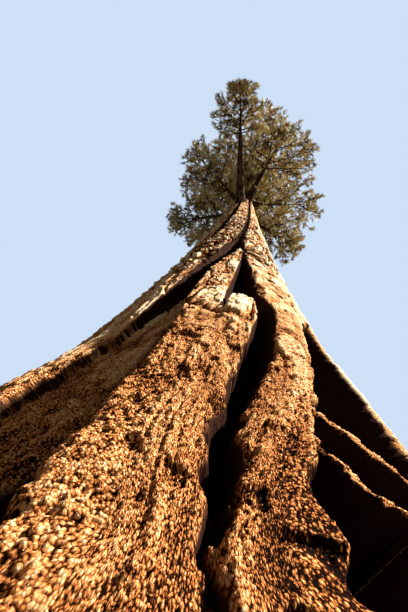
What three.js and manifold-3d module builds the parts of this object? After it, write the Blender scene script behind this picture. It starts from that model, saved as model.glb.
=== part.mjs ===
// A giant sequoia, whole, from a flat cut at ground level to the tip of its crown.
// Millimetres, +Z up, origin at the middle of the ground cut. The face seen first looks along -Y.
// The living tree is about 75 m tall. It is scaled evenly by 40/75, so that its tallest spray ends at 40 m.
// Angles round the trunk are bearings in degrees: 0 looks along -Y, 90 along +X, 180 along +Y.

import * as THREE from "three";
import { mergeVertices } from "three/addons/utils/BufferGeometryUtils.js";
import Module from "manifold-3d";

const wasm = await Module();
wasm.setup();

// Driving dimensions, in millimetres on the scaled tree.
const METRE = 1000;
const TREE_HEIGHT = 40 * METRE;
const LEADER_TIP = 38.3 * METRE; // where the wood ends, inside the topmost foliage
const LEAN = -0.03; // run along Y for each unit of height: the stem leans to the front
const STEM_GIRTH = 1.62 * METRE; // radius the stem would have at the ground without its flare
const STEM_TAPER = 1.32;
const BUTT_SWELL = 1.17 * METRE; // what the buttressed butt adds to the radius at the ground
const BUTT_HEIGHT = 4.5 * METRE;
const ROOT_FLARE = 0.22 * METRE; // the last flare of the roots just above the ground
const ROOT_FLARE_HEIGHT = 0.5 * METRE;
const FURROW_DEEP = 0.46 * METRE; // depth of the furrows at the butt, dying out upwards
const FURROW_HIGH = 0.07 * METRE; // depth of the furrows all the way up
const FURROW_FADE = 5.5 * METRE;
const CREST_SQUARENESS = 12; // 2 is a round crest, more is a flat one with steep sides

const CROWN_BASE = 19.4 * METRE; // height of the lowest bough
const HIGHEST_BOUGH = 33.2 * METRE;
const BOUGHS = 20;
const FIRST_BEARING = -24; // of the lowest bough
const MASS_WIDE = 2.5 * METRE; // half width of a mass low in the crown
const MASS_NARROW = 2.0 * METRE; // and of one near the top
const MASS_SHARE = 0.54; // and never more than this share of the crown's reach there
const MASS_FLATNESS = 0.95; // half height over half width
const SPRAY_LONGEST = 1.5 * METRE;
const SPRAYS_PER_BRANCH = 2; // besides the one at its tip
const BRANCHES_PER_MASS = 5;
const CORE_SHARE = 0.84; // of the space that the core of a dense mass fills, each way
const CORE_DETAIL = 2;
const CLEARANCE = 0.3; // between one node and the next
const LIMB_ROOM = 0.1 * METRE; // between foliage and a limb that passes it

const BARK_COLOUR = 0xb07850;
const BOUGH_COLOUR = 0x6e4a30;
const FOLIAGE_COLOUR = 0x6a6436;

const TURN = Math.PI / 180;
const GOLDEN_ANGLE = 137.508;

// The park-and-miller generator: the same numbers for the same seed, wherever it is written.
function generator(seed) {
  let state = seed % 2147483647;
  return () => {
    state = (state * 16807) % 2147483647;
    return state / 2147483647;
  };
}

const between = (low, high, share) => low + (high - low) * share;

// The level direction of a bearing.
const outward = (bearing) => new THREE.Vector3(Math.sin(bearing * TURN), -Math.cos(bearing * TURN), 0);

const stemAxis = (height) => new THREE.Vector3(0, LEAN * height, height);

// The radius over the crests at a height: a tapering stem, a swollen butt and the last flare of the roots.
function girth(height) {
  const stem = STEM_GIRTH * Math.pow(Math.max(1 - height / TREE_HEIGHT, 0), STEM_TAPER);
  const butt = BUTT_SWELL * Math.exp(-height / BUTT_HEIGHT);
  return stem + butt + ROOT_FLARE * Math.exp(-height / ROOT_FLARE_HEIGHT);
}

const furrowDepth = (height) => FURROW_HIGH + FURROW_DEEP * Math.exp(-Math.pow(height / FURROW_FADE, 1.5));

// The buttresses and ribs of the face seen first. Each row is one station of a rib, in metres and degrees:
// height, bearing of the crest, half width to the left, half width to the right, how proud it stands.
const FRONT_RIBS = {
  left_buttress: [
    [0, -6, 8, 8, 0.35],
    [1.3, -2.9, 5.2, 5.2, 0.15],
    [1.6, -3.6, 5.2, 5.2, 0.15],
    [1.8, -3.7, 4.8, 4.8, 0.15],
    [2, -3, 5.8, 5.8, 0.15],
    [2.35, -2.8, 6, 6, 0.15],
    [2.8, -3, 5.7, 6, 0.14],
    [3.4, -4, 5.2, 6, 0.13],
    [4, -5, 5.3, 6, 0.11],
    [4.5, -5, 6.5, 6.2, 0.09],
    [5.8, -3, 7.2, 6.8, 0.07],
    [6.8, 0.5, 5.8, 5.5, 0.07],
    [7.5, 3.3, 3.4, 3.3, 0.06],
    [8.5, 6, 3, 3, -0.04],
    [10, 8, 3, 3, -0.3],
    [40, 70, 3, 3, -0.3],
  ],
  elbow: [
    [1.6, -2, 4, 4, -0.6],
    [2.1, -1, 3.4, 3.4, 0],
    [2.8, 1, 4, 3.6, 0.12],
    [3.1, 2.2, 4.5, 3.7, 0.14],
    [3.46, 3.6, 4.5, 4.2, 0.15],
    [3.9, 4.2, 4.4, 4.3, 0.15],
    [4.25, 5, 4, 4.1, 0.12],
    [4.45, 6.5, 2.8, 2.6, 0.05],
    [4.7, 7, 2.2, 2, -0.3],
    [5, 7.5, 2, 2, -0.6],
  ],
  right_buttress: [
    [0, 9, 6, 6, 0.3],
    [1.3, 4.9, 3.9, 4.1, 0.15],
    [1.49, 5.2, 3.6, 3.7, 0.15],
    [1.6, 5.2, 3, 3.3, 0.14],
    [1.72, 5.4, 3.2, 3.5, 0.14],
    [1.85, 5.8, 3.4, 3.7, 0.14],
    [2, 6.5, 3.6, 3.9, 0.13],
    [2.4, 8.8, 3.8, 4.4, 0.13],
    [2.8, 11.7, 3.9, 4.4, 0.12],
    [3.3, 13.9, 4.2, 4.4, 0.12],
    [3.8, 16, 4.4, 4.6, 0.12],
    [4.2, 17.8, 5.2, 5, 0.12],
    [4.5, 21, 9, 7.5, 0.1],
    [5, 23, 14.5, 10, 0.08],
    [6.4, 25, 17, 12, 0.06],
    [7.2, 26, 21, 13, 0.05],
    [9.3, 29, 26, 15, 0.04],
    [11, 34, 28, 15, 0.03],
    [14, 40, 24, 14, 0.01],
    [40, 90, 14, 14, 0],
  ],
  upper_rib: [
    [0, -34, 5, 5, 0.1],
    [3.5, -26, 4, 4, -0.06],
    [4.8, -22.3, 3.6, 3.6, 0.03],
    [5.8, -20.5, 4.7, 4.7, 0.06],
    [7.5, -17.8, 8.7, 8.7, 0.06],
    [9.3, -12, 14, 14, 0.05],
    [11.1, -6.5, 15, 15, 0.04],
    [14, 0, 17, 17, 0.03],
    [40, 45, 12, 12, 0],
  ],
  left_flank: [
    [0, -22, 8, 8, 0.05],
    [2, -20, 9, 9, -0.1],
    [4, -19, 7, 7, -0.14],
    [8, -10, 3, 3, -0.3],
  ],
  left_shoulder: [
    [0, -48, 9, 9, 0],
    [3, -48, 10, 10, -0.18],
    [9, -40, 9, 9, -0.02],
    [40, 20, 9, 9, 0],
  ],
  right_shoulder: [
    [0, 50, 9, 9, 0.35],
    [2, 46, 8, 8, 0.05],
    [5, 52, 9, 9, 0],
    [14, 72, 12, 12, 0],
    [40, 110, 12, 12, 0],
  ],
};

// The ribs of the sides and the back, which nobody photographed: the same kind of rib, dealt out by a seed.
const BACK_RIBS = { count: 15, first: 64, last: 298, seed: 77 };

function backRibs() {
  const random = generator(BACK_RIBS.seed);
  return Array.from({ length: BACK_RIBS.count }, (_, k) => ({
    bearing: between(BACK_RIBS.first, BACK_RIBS.last, k / (BACK_RIBS.count - 1)) + 5 * (random() - 0.5),
    halfWidth: 8.5 + 3 * random(),
    proud: (-0.16 + 0.16 * random()) * METRE,
    foot: (0.25 + 0.35 * random()) * METRE,
  }));
}

const ringRibs = backRibs();

// The ribs climb in a slow right-handed turn.
const twist = (height) => 2.3 * Math.min(height / METRE - 2, 12) + Math.max(height / METRE - 14, 0);

// The row between a table's rows at a first value, without that value.
function rowAt(table, first) {
  const above = table.findIndex((row) => row[0] > first);
  if (above === 0) return table[0].slice(1);
  if (above < 0) return table[table.length - 1].slice(1);
  const [low, high] = [table[above - 1], table[above]];
  const share = (first - low[0]) / (high[0] - low[0]);
  return low.slice(1).map((value, k) => between(value, high[k + 1], share));
}

const turnedBy = (bearing, crest) => ((((bearing - crest + 180) % 360) + 360) % 360) - 180;

// How deep the floor of a furrow lies, in furrow depths: deepest right of the right buttress, near the ground.
const FURROW_FLOOR = 1.15;
const CAVE = { deeper: 0.8, bearing: 23, halfWidth: 11, height: 4 * METRE };

function furrowFloor(bearing, height) {
  const aside = turnedBy(bearing, CAVE.bearing) / CAVE.halfWidth;
  return FURROW_FLOOR + CAVE.deeper * Math.exp(-(aside ** 4)) * Math.exp(-((height / CAVE.height) ** 3));
}

// Radius of the bark: over the girth stand flat-topped ribs, the highest wins, and between two is a furrow.
function trunkRadius(bearing, height) {
  const depth = furrowDepth(height);
  let proudest = -depth * furrowFloor(bearing, height);
  for (const rib of Object.values(FRONT_RIBS)) {
    const [crest, left, right, proud] = rowAt(rib, height / METRE);
    const aside = turnedBy(bearing, crest);
    const across = Math.abs(aside) / (aside < 0 ? left : right);
    proudest = Math.max(proudest, proud * METRE - depth * Math.pow(across, CREST_SQUARENESS));
  }
  for (const rib of ringRibs) {
    const across = Math.abs(turnedBy(bearing, rib.bearing + twist(height))) / rib.halfWidth;
    const proud = rib.proud * Math.exp(-height / (6 * METRE)) + rib.foot * Math.exp(-height / (1.2 * METRE));
    proudest = Math.max(proudest, proud - depth * Math.pow(across, 2.2));
  }
  return Math.max(girth(height) + proudest, 0.02 * METRE);
}

// A closed skin over rings of points, each ring with the same number, capped by a fan at both ends.
function skinOver(rings) {
  const sides = rings[0].length;
  const points = rings.flat();
  const faces = [];
  for (let level = 0; level + 1 < rings.length; level++) {
    for (let k = 0; k < sides; k++) {
      const a = level * sides + k;
      const b = level * sides + ((k + 1) % sides);
      faces.push(a, b, b + sides, a, b + sides, a + sides);
    }
  }
  const cap = (ring, facingUp) => {
    const centre = new THREE.Vector3();
    ring.points.forEach((point) => centre.addScaledVector(point, 1 / sides));
    const middle = points.push(ring.centre ?? centre) - 1;
    for (let k = 0; k < sides; k++) {
      const a = ring.first + k;
      const b = ring.first + ((k + 1) % sides);
      faces.push(...(facingUp ? [a, b, middle] : [b, a, middle]));
    }
  };
  cap({ points: rings[0], first: 0 }, false);
  cap({ points: rings[rings.length - 1], first: (rings.length - 1) * sides }, true);
  const geometry = new THREE.BufferGeometry().setFromPoints(points);
  geometry.setIndex(faces);
  return geometry;
}

const TRUNK_COLUMNS = 72;
const TRUNK_LEVELS = 31;
const LEVEL_SPREAD = 1.6; // levels lie closer together near the ground
const COLUMN_SPREAD = 0.6; // columns lie closer together on the face seen first

// The whole stem as one skin, or one a hair fatter to cut the boughs clear of it.
function trunkGeometry(fatter = 0) {
  const rings = [];
  for (let level = 0; level <= TRUNK_LEVELS; level++) {
    const height = LEADER_TIP * Math.pow(level / TRUNK_LEVELS, LEVEL_SPREAD);
    const ring = [];
    for (let k = 0; k < TRUNK_COLUMNS; k++) {
      const round = (2 * k) / TRUNK_COLUMNS - 1;
      const bearing = 180 * (COLUMN_SPREAD * round + (1 - COLUMN_SPREAD) * round ** 3);
      const radius = trunkRadius(bearing, height) + fatter;
      ring.push(stemAxis(height).addScaledVector(outward(bearing), radius));
    }
    rings.push(ring);
  }
  return skinOver(rings);
}

// A geometry with nothing but its points, then as a solid that can be joined and cut, and back again.
function bareCopy(geometry) {
  const bare = geometry.clone();
  bare.deleteAttribute("normal");
  bare.deleteAttribute("uv");
  return bare;
}

function solidFrom(geometry) {
  const welded = mergeVertices(bareCopy(geometry), 1e-3);
  const vertProperties = new Float32Array(welded.attributes.position.array);
  const triVerts = new Uint32Array(welded.index.array);
  return new wasm.Manifold(new wasm.Mesh({ numProp: 3, vertProperties, triVerts }));
}

function geometryFrom(solid) {
  const { vertProperties, triVerts, numProp, numVert } = solid.getMesh();
  const places = new Float32Array(numVert * 3);
  for (let k = 0; k < numVert; k++) places.set(vertProperties.subarray(k * numProp, k * numProp + 3), k * 3);
  const geometry = new THREE.BufferGeometry();
  geometry.setAttribute("position", new THREE.BufferAttribute(places, 3));
  geometry.setIndex(new THREE.BufferAttribute(triVerts, 1));
  geometry.computeVertexNormals();
  return geometry;
}

// The largest closed body of a solid: sealed hollows are filled and loose scraps dropped. Welding the
// vertices anew can part what hung on by a single edge, so it goes on until one body is left.
const largest = (bodies) => bodies.reduce((best, body) => (body.volume() > best.volume() ? body : best));

function mainBody(solid) {
  let body = largest(solid.decompose());
  for (;;) {
    const parts = solidFrom(geometryFrom(body).toNonIndexed()).decompose();
    if (parts.length === 1) return body;
    body = largest(parts);
  }
}

// Whether two stretches of a body's skin touch along an edge, which leaves it neither joined nor apart.
function touchesItself(body) {
  const seen = new Set();
  const { index } = mergeVertices(bareCopy(geometryFrom(body)), 1e-3);
  for (let k = 0; k < index.count; k++) {
    const next = k % 3 === 2 ? k - 2 : k + 1;
    const edge = index.getX(k) + "-" + index.getX(next);
    if (seen.has(edge)) return true;
    seen.add(edge);
  }
  return false;
}

// A tapering limb along a curve, with flat ends square to it, or one a hair fatter and longer.
const LIMB_SIDES = 6;
const LIMB_STEPS = 3;

function limbGeometry(curve, radiusAt, fatter = 0) {
  const frames = curve.computeFrenetFrames(LIMB_STEPS, false);
  const rings = [];
  for (let step = 0; step <= LIMB_STEPS; step++) {
    const share = step / LIMB_STEPS;
    const centre = curve.getPointAt(share);
    if (step === LIMB_STEPS) centre.addScaledVector(curve.getTangentAt(1), 0.9 * fatter);
    const radius = radiusAt(share) + fatter;
    const ring = [];
    for (let k = 0; k < LIMB_SIDES; k++) {
      const angle = (2 * Math.PI * k) / LIMB_SIDES;
      ring.push(
        centre
          .clone()
          .addScaledVector(frames.normals[step], radius * Math.cos(angle))
          .addScaledVector(frames.binormals[step], radius * Math.sin(angle)),
      );
    }
    rings.push(ring);
  }
  return skinOver(rings);
}

// How far the crown reaches from the stem's axis: bearing, metres. It reaches furthest to the front.
const CROWN_OUTLINE = [
  [-180, 3.6],
  [-144, 4.1],
  [-90, 4.3],
  [-51, 4.2],
  [-30, 4.3],
  [-8, 5.2],
  [12, 5.1],
  [26, 4.8],
  [50, 5.7],
  [66, 5.6],
  [90, 4.4],
  [124, 3.8],
  [160, 3.3],
  [180, 3.6],
];

// The lowest bough carries a small mass that stands out of the crown's front.
const SPUR = { bearing: -11, reach: 5.5 * METRE, halfWidth: 1.3 * METRE };

function crownReach(bearing, height) {
  const [plan] = rowAt(CROWN_OUTLINE, turnedBy(bearing, 0));
  const low = Math.min((height - 0.35 * CROWN_BASE) / (0.86 * CROWN_BASE), 1);
  const high = Math.sqrt(Math.min((TREE_HEIGHT - height) / (0.3 * TREE_HEIGHT), 1));
  return plan * METRE * low * high;
}

// The plan of the crown: one bough and one mass at its end for each step of the golden angle up the stem.
function boughPlan() {
  const random = generator(4021);
  return Array.from({ length: BOUGHS }, (_, k) => {
    const share = k / (BOUGHS - 1);
    const height = between(CROWN_BASE, HIGHEST_BOUGH, share) + 0.3 * METRE * (random() - 0.5);
    let bearing = FIRST_BEARING + GOLDEN_ANGLE * k + 16 * (random() - 0.5);
    const rise = between(0.5, 1.5, random()) * METRE;
    let reach = crownReach(bearing, height + rise) * between(0.94, 1.04, random());
    let halfWidth = Math.min(between(MASS_WIDE, MASS_NARROW, share ** 1.3), MASS_SHARE * reach);
    if (k === 0) ({ bearing, reach, halfWidth } = SPUR);
    const centre = stemAxis(height + rise).addScaledVector(outward(bearing), reach - 0.9 * halfWidth);
    return { name: String(k + 1).padStart(2, "0"), height, bearing, halfWidth, centre, seed: 100 + k };
  });
}

// Masses that sit on the stem itself: a few low ones against the bark, and the ones of the leader.
const STEM_MASSES = [
  { name: "inner_low", height: 22.4, bearing: 4, out: 0.8, halfWidth: 1.3 },
  { name: "inner_high", height: 29.5, bearing: -100, out: 0.6, halfWidth: 1.1 },
  { name: "leader_front", height: 35.2, bearing: 15, out: 1.0, halfWidth: 1.8 },
  { name: "leader_left", height: 35.7, bearing: -105, out: 1.0, halfWidth: 1.75 },
  { name: "leader_back", height: 36.1, bearing: 135, out: 1.0, halfWidth: 1.7 },
  { name: "leader_upper", height: 37.4, bearing: 60, out: 0.5, halfWidth: 1.4 },
];
const TOP_MASS = { name: "top", halfWidth: 1.25 };

// A mass keeps to its own space: a flattened ball, cut off by a flat wall between it and each neighbour,
// and by one in front of the stem.
const flattened = (vector) => new THREE.Vector3(vector.x, vector.y, vector.z / MASS_FLATNESS);

function spaceOf(mass, masses) {
  const centre = flattened(mass.centre);
  const neighbours = masses
    .filter((other) => other.name !== mass.name)
    .map((other) => {
      const away = flattened(other.centre).sub(centre);
      const gap = away.length();
      const share = mass.halfWidth / (mass.halfWidth + other.halfWidth);
      return { direction: away.divideScalar(gap), limit: gap * share };
    })
    .filter((neighbour) => neighbour.limit < 1.2 * mass.halfWidth);
  const axis = stemAxis(mass.centre.z);
  const inwards = flattened(axis).sub(centre);
  const fromStem = inwards.length();
  if (fromStem > girth(mass.centre.z)) {
    neighbours.push({ direction: inwards.divideScalar(fromStem), limit: fromStem - girth(mass.centre.z) });
  }
  // How much of the space is used up at a point: 1 on its boundary.
  return (point) => {
    const place = flattened(point).sub(centre);
    const walls = neighbours.map((wall) => place.dot(wall.direction) / (wall.limit - 0.04 * METRE));
    return Math.max(place.length() / mass.halfWidth, ...walls);
  };
}

// How far from the middle of a space its boundary lies along a direction.
function roomAlong(space, from, direction) {
  let [near, far] = [0, 3 * MASS_WIDE];
  for (let k = 0; k < 24; k++) {
    const middle = (near + far) / 2;
    if (space(from.clone().addScaledVector(direction, middle)) < 1) near = middle;
    else far = middle;
  }
  return near;
}

// Whether a point keeps clear of the stem and of every bough.
function clearOfLimbs(point, limbs, room) {
  const axis = stemAxis(point.z);
  const fromStem = Math.hypot(point.x - axis.x, point.y - axis.y);
  if (point.z < LEADER_TIP && fromStem < girth(point.z) + room) return false;
  return limbs.every((limb) => {
    const nearest = limb.line.closestPointToPoint(point, true, new THREE.Vector3());
    return nearest.distanceTo(point) > limb.radius + room;
  });
}

const alongZ = new THREE.Vector3(0, 0, 1);

// A three-sided twig from one point to another.
function twigSolid(from, to, thick, thin) {
  const along = to.clone().sub(from);
  const geometry = new THREE.CylinderGeometry(thin, thick, along.length(), 3, 1);
  geometry.rotateX(Math.PI / 2);
  geometry.applyQuaternion(new THREE.Quaternion().setFromUnitVectors(alongZ, along.clone().normalize()));
  geometry.translate(...from.clone().add(to).multiplyScalar(0.5).toArray());
  return solidFrom(geometry);
}

// A spray of needles as a toothed blade: a root, a barb and a notch on each side, and a tip.
const BLADE_OUTLINE = [
  [0, 0],
  [0.5, 0.27],
  [0.56, 0.1],
  [1, 0],
  [0.56, -0.1],
  [0.5, -0.27],
];
const BLADE_THICKNESS = 0.07; // of its length, at the middle

function bladePoints(root, direction, flat, length) {
  const side = new THREE.Vector3().crossVectors(direction, flat).normalize();
  const face = new THREE.Vector3().crossVectors(side, direction).normalize();
  const at = (along, across, up) =>
    root
      .clone()
      .addScaledVector(direction, along * length)
      .addScaledVector(side, across * length)
      .addScaledVector(face, up * length);
  const rim = BLADE_OUTLINE.map(([along, across]) => at(along, across, 0));
  return [...rim, at(0.4, 0, BLADE_THICKNESS / 2), at(0.4, 0, -BLADE_THICKNESS / 2)];
}

function bladeSolid(points) {
  const [top, bottom] = [6, 7];
  const faces = [];
  for (let k = 0; k < 6; k++) {
    const next = (k + 1) % 6;
    faces.push(k, next, top, next, k, bottom);
  }
  const geometry = new THREE.BufferGeometry().setFromPoints(points);
  geometry.setIndex(faces);
  return solidFrom(geometry);
}

// The lumpy core of a dense mass, which the sprays stand out of.
function coreSolid(mass, space, random) {
  const geometry = new THREE.OctahedronGeometry(1, CORE_DETAIL);
  const places = geometry.attributes.position;
  const welded = new Map();
  for (let k = 0; k < places.count; k++) {
    const direction = new THREE.Vector3().fromBufferAttribute(places, k).normalize();
    const key = direction.toArray().map((value) => value.toFixed(3)).join();
    if (!welded.has(key)) {
      const reach = roomAlong(space, mass.centre, direction) * CORE_SHARE * between(0.85, 1.1, random());
      welded.set(key, mass.centre.clone().addScaledVector(direction, reach));
    }
    places.setXYZ(k, ...welded.get(key).toArray());
  }
  return solidFrom(geometry);
}

// Any level direction square to another one, tipped towards the light.
function squareTo(direction, angle) {
  const helper = Math.abs(direction.z) < 0.9 ? alongZ : new THREE.Vector3(1, 0, 0);
  const side = new THREE.Vector3().crossVectors(direction, helper).normalize();
  return side.applyAxisAngle(direction, angle);
}

// The rule of growth. A stem runs on from the bough to near the far side of the space. Branches leave it by
// the golden angle, each to near the boundary, and carry sprays at their tips and along their sides.
const BRANCH_ANGLE = 56;
const SPRAY_ANGLE = 48;

function massSolid(mass, masses, limbs) {
  const random = generator(mass.seed);
  const space = spaceOf(mass, masses);
  const { root, heading } = mass;
  const keepsClear = (point, room) =>
    space(point) < 1 && clearOfLimbs(point, limbs, room) && point.z < TREE_HEIGHT && (
      point.clone().sub(root).dot(heading) > 0
    );
  const outwards = mass.centre.clone().sub(root).normalize().lerp(heading, 0.3).normalize();
  const bend = root.clone().addScaledVector(heading, 0.35 * root.distanceTo(mass.centre));
  const far = mass.centre.clone().addScaledVector(outwards, 0.6 * roomAlong(space, mass.centre, outwards));
  const stem = mass.stem ?? 0.05 * METRE;
  const pieces = [
    twigSolid(root, bend, stem, 0.85 * stem),
    twigSolid(bend.clone().lerp(root, 0.1), far, 0.85 * stem, 0.02 * METRE),
  ];
  pieces.push(coreSolid(mass, space, random));
  const addSpray = (place, direction, flat) => {
    const length = Math.min(0.95 * roomAlong(space, place, direction), SPRAY_LONGEST);
    const start = place.clone().addScaledVector(direction, -0.1 * length);
    const points = bladePoints(start, direction, flat, length);
    const outer = points.slice(1, 6);
    if (outer.every((point) => keepsClear(point, LIMB_ROOM))) pieces.push(bladeSolid(points));
  };
  for (let k = 0; k < BRANCHES_PER_MASS; k++) {
    const share = (k + 0.6) / BRANCHES_PER_MASS;
    const place = bend.clone().lerp(far, share);
    const turn = (GOLDEN_ANGLE * k + 40 * random()) * TURN;
    const lift = between(1.25, 0.5, share) * BRANCH_ANGLE * TURN;
    const direction = outwards.clone().applyAxisAngle(squareTo(outwards, turn), lift).normalize();
    const length = between(0.38, 0.5, random()) * roomAlong(space, place, direction);
    const tip = place.clone().addScaledVector(direction, length);
    if (!keepsClear(tip, LIMB_ROOM) || !keepsClear(place.clone().lerp(tip, 0.5), LIMB_ROOM)) continue;
    pieces.push(twigSolid(place, tip, 0.06 * METRE, 0));
    const flat = squareTo(direction, 360 * random() * TURN);
    const near = tip.clone().lerp(place, 0.06);
    addSpray(near, direction, flat);
    for (let j = 0; j < SPRAYS_PER_BRANCH; j++) {
      const hand = (j + k) % 2 ? -1 : 1;
      const seat = place.clone().lerp(tip, between(0.5, 0.9, (j + random()) / SPRAYS_PER_BRANCH));
      addSpray(seat, direction.clone().applyAxisAngle(flat, hand * SPRAY_ANGLE * TURN), flat);
    }
  }
  return pieces.reduce((whole, piece) => whole.add(piece));
}

const boughMaterial = new THREE.MeshStandardMaterial({ color: BOUGH_COLOUR, roughness: 0.9, metalness: 0 });
const barkMaterial = new THREE.MeshStandardMaterial({ color: BARK_COLOUR, roughness: 0.9, metalness: 0 });
const foliageMaterial = new THREE.MeshStandardMaterial({ color: FOLIAGE_COLOUR, roughness: 0.8, metalness: 0 });

function named(name, geometry, material) {
  const mesh = new THREE.Mesh(geometry, material);
  mesh.name = name;
  return mesh;
}

// A bough leaves the stem nearly level, sags a little and turns up into its mass, whose space it enters.
const BOUGH_ENTERS = 0.8; // how much of the space is used up where the bough ends

function boughCurve(mass, space) {
  const start = stemAxis(mass.height);
  const flat = mass.centre.clone().sub(start);
  const middle = start.clone().addScaledVector(flat, 0.5);
  middle.z = start.z + 0.12 * flat.z - 0.04 * flat.length();
  const whole = new THREE.QuadraticBezierCurve3(start, middle, mass.centre.clone());
  let end = 1;
  while (space(whole.getPoint(end)) < BOUGH_ENTERS) end -= 0.01;
  const points = [0, 0.25, 0.5, 0.75, 1].map((share) => whole.getPoint(share * end));
  return new THREE.CatmullRomCurve3(points);
}

function stemMass(plan, k) {
  const height = plan.height * METRE;
  const heading = outward(plan.bearing);
  const wood = trunkRadius(plan.bearing, height);
  const centre = stemAxis(height + 0.3 * METRE).addScaledVector(heading, wood + plan.out * METRE);
  const root = stemAxis(height).addScaledVector(heading, 0.6 * wood);
  return { name: plan.name, centre, heading, root, halfWidth: plan.halfWidth * METRE, seed: 300 + k };
}

function topMass() {
  const halfWidth = TOP_MASS.halfWidth * METRE;
  const centre = stemAxis(TREE_HEIGHT - MASS_FLATNESS * halfWidth);
  const root = stemAxis(LEADER_TIP + CLEARANCE);
  return { name: TOP_MASS.name, centre, heading: alongZ.clone(), root, halfWidth, seed: 400 };
}

const masses = [...boughPlan(), ...STEM_MASSES.map(stemMass), topMass()];
const tree = new THREE.Group();
tree.add(named("trunk", trunkGeometry(), barkMaterial));

const fatTrunk = solidFrom(trunkGeometry(2 * CLEARANCE));
let fatWood = fatTrunk;
const limbs = [];
for (const mass of masses.filter((each) => each.height)) {
  const curve = boughCurve(mass, spaceOf(mass, masses));
  const thick = Math.min(0.2 * METRE, 0.42 * girth(mass.height));
  const thin = 0.42 * thick;
  const radiusAt = (share) => between(thick, thin, share);
  const limb = mainBody(solidFrom(limbGeometry(curve, radiusAt)).subtract(fatTrunk));
  tree.add(named("bough_" + mass.name, geometryFrom(limb), boughMaterial));
  fatWood = fatWood.add(solidFrom(limbGeometry(curve, radiusAt, CLEARANCE)));
  mass.heading = curve.getTangentAt(1);
  mass.root = curve.getPointAt(1).addScaledVector(mass.heading, CLEARANCE);
  mass.stem = 0.9 * thin;
  const [base, middle, end] = [0, 0.5, 1].map((share) => curve.getPointAt(share));
  limbs.push({ line: new THREE.Line3(base, middle), radius: thick });
  limbs.push({ line: new THREE.Line3(middle, end), radius: thick });
}

// A mass is cut clear of the wood. One whose skin touches itself is grown again from another seed.
function cleanMass(mass) {
  for (let seed = mass.seed; ; seed += 1000) {
    const body = mainBody(massSolid({ ...mass, seed }, masses, limbs).subtract(fatWood));
    if (!touchesItself(body)) return body;
  }
}

for (const mass of masses) {
  tree.add(named("foliage_" + mass.name, geometryFrom(cleanMass(mass)), foliageMaterial));
}

export default tree;
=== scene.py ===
# %% [markdown]
# A giant sequoia, looked at from the foot of its trunk. The imported model is the measured frame of the
# tree: its trunk, boughs and masses of foliage are plain solids. This lesson dresses them: the trunk and
# boughs get bark with real relief, and each mass becomes branches, twigs and sprays of leaves. We keep
# the box of the plain solids.

import math

import bpy
import numpy as np
from mathutils import Matrix, Vector


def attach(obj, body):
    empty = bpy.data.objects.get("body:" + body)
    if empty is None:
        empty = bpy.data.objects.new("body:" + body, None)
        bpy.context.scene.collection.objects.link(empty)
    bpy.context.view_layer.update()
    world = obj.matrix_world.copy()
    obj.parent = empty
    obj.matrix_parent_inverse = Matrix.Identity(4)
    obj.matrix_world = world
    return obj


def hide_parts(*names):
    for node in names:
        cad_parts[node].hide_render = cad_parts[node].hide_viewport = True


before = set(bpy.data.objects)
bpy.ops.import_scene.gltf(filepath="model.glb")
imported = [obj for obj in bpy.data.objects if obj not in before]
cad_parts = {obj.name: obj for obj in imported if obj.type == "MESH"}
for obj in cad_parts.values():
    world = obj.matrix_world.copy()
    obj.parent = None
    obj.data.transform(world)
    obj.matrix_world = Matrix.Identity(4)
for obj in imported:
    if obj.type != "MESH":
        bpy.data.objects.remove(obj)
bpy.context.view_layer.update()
NODES = sorted(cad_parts)

# %% [markdown]
# Every shape below is worked out as whole numpy arrays and then put into a mesh in one go. A surface is a
# grid of points, rows by columns, that closes on itself from the last column to the first. The two ends
# are closed by a fan of triangles round a middle point, so that the piece is one watertight skin.

# %% From arrays to a mesh
def in_scene(name, data):
    """A new object for a mesh, a light or a camera, linked to the scene."""
    item = bpy.data.objects.new(name, data)
    bpy.context.scene.collection.objects.link(item)
    return item


def put_mesh(name, points, faces, smooth=True, face_materials=None):
    """A mesh object from its points and its faces, which all have the same number of corners."""
    mesh = bpy.data.meshes.new(name)
    corners = faces.shape[1]
    mesh.vertices.add(len(points))
    mesh.vertices.foreach_set("co", points.astype(np.float32).ravel())
    mesh.loops.add(faces.size)
    mesh.loops.foreach_set("vertex_index", faces.astype(np.int32).ravel())
    mesh.polygons.add(len(faces))
    mesh.polygons.foreach_set("loop_start", np.arange(0, faces.size, corners, dtype=np.int32))
    mesh.polygons.foreach_set("use_smooth", np.broadcast_to(smooth, len(faces)).copy())
    if face_materials is not None:
        mesh.polygons.foreach_set("material_index", face_materials.astype(np.int32))
    mesh.update(calc_edges=True)
    mesh.validate()
    return in_scene(name, mesh)


def closed_grid(rows, columns):
    """Triangles of a closed tube of rows by columns points, with a fan at each end.

    Point k of row j has the number j * columns + k. The two middle points of the fans come last.
    """
    row, column = np.meshgrid(np.arange(rows - 1), np.arange(columns), indexing="ij")
    a = row * columns + column
    b = row * columns + (column + 1) % columns
    sides = np.stack([a, b, b + columns, a, b + columns, a + columns], -1).reshape(-1, 3)
    rim = np.arange(columns)
    after = (rim + 1) % columns
    bottom = np.stack([after, rim, np.full(columns, rows * columns)], -1)
    last = (rows - 1) * columns
    top = np.stack([last + rim, last + after, np.full(columns, rows * columns + 1)], -1)
    return sides, np.concatenate([bottom, top])


def paint_points(piece, **layers):
    """Keeps named numbers, or vectors, for each point of a piece, for its material to read."""
    for name, values in layers.items():
        kind, key = ("FLOAT", "value") if values.ndim == 1 else ("FLOAT_VECTOR", "vector")
        layer = piece.data.attributes.new(name, kind, "POINT")
        layer.data.foreach_set(key, values.astype(np.float32).ravel())


def finish_piece(piece, materials, replaced):
    """Gives a piece its materials, its body and the solids it stands for."""
    for material in materials:
        piece.data.materials.append(material)
    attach(piece, "root")
    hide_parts(*replaced)
    print(f"{piece.name}: {sum(len(p.vertices) - 2 for p in piece.data.polygons)} triangles")


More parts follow.
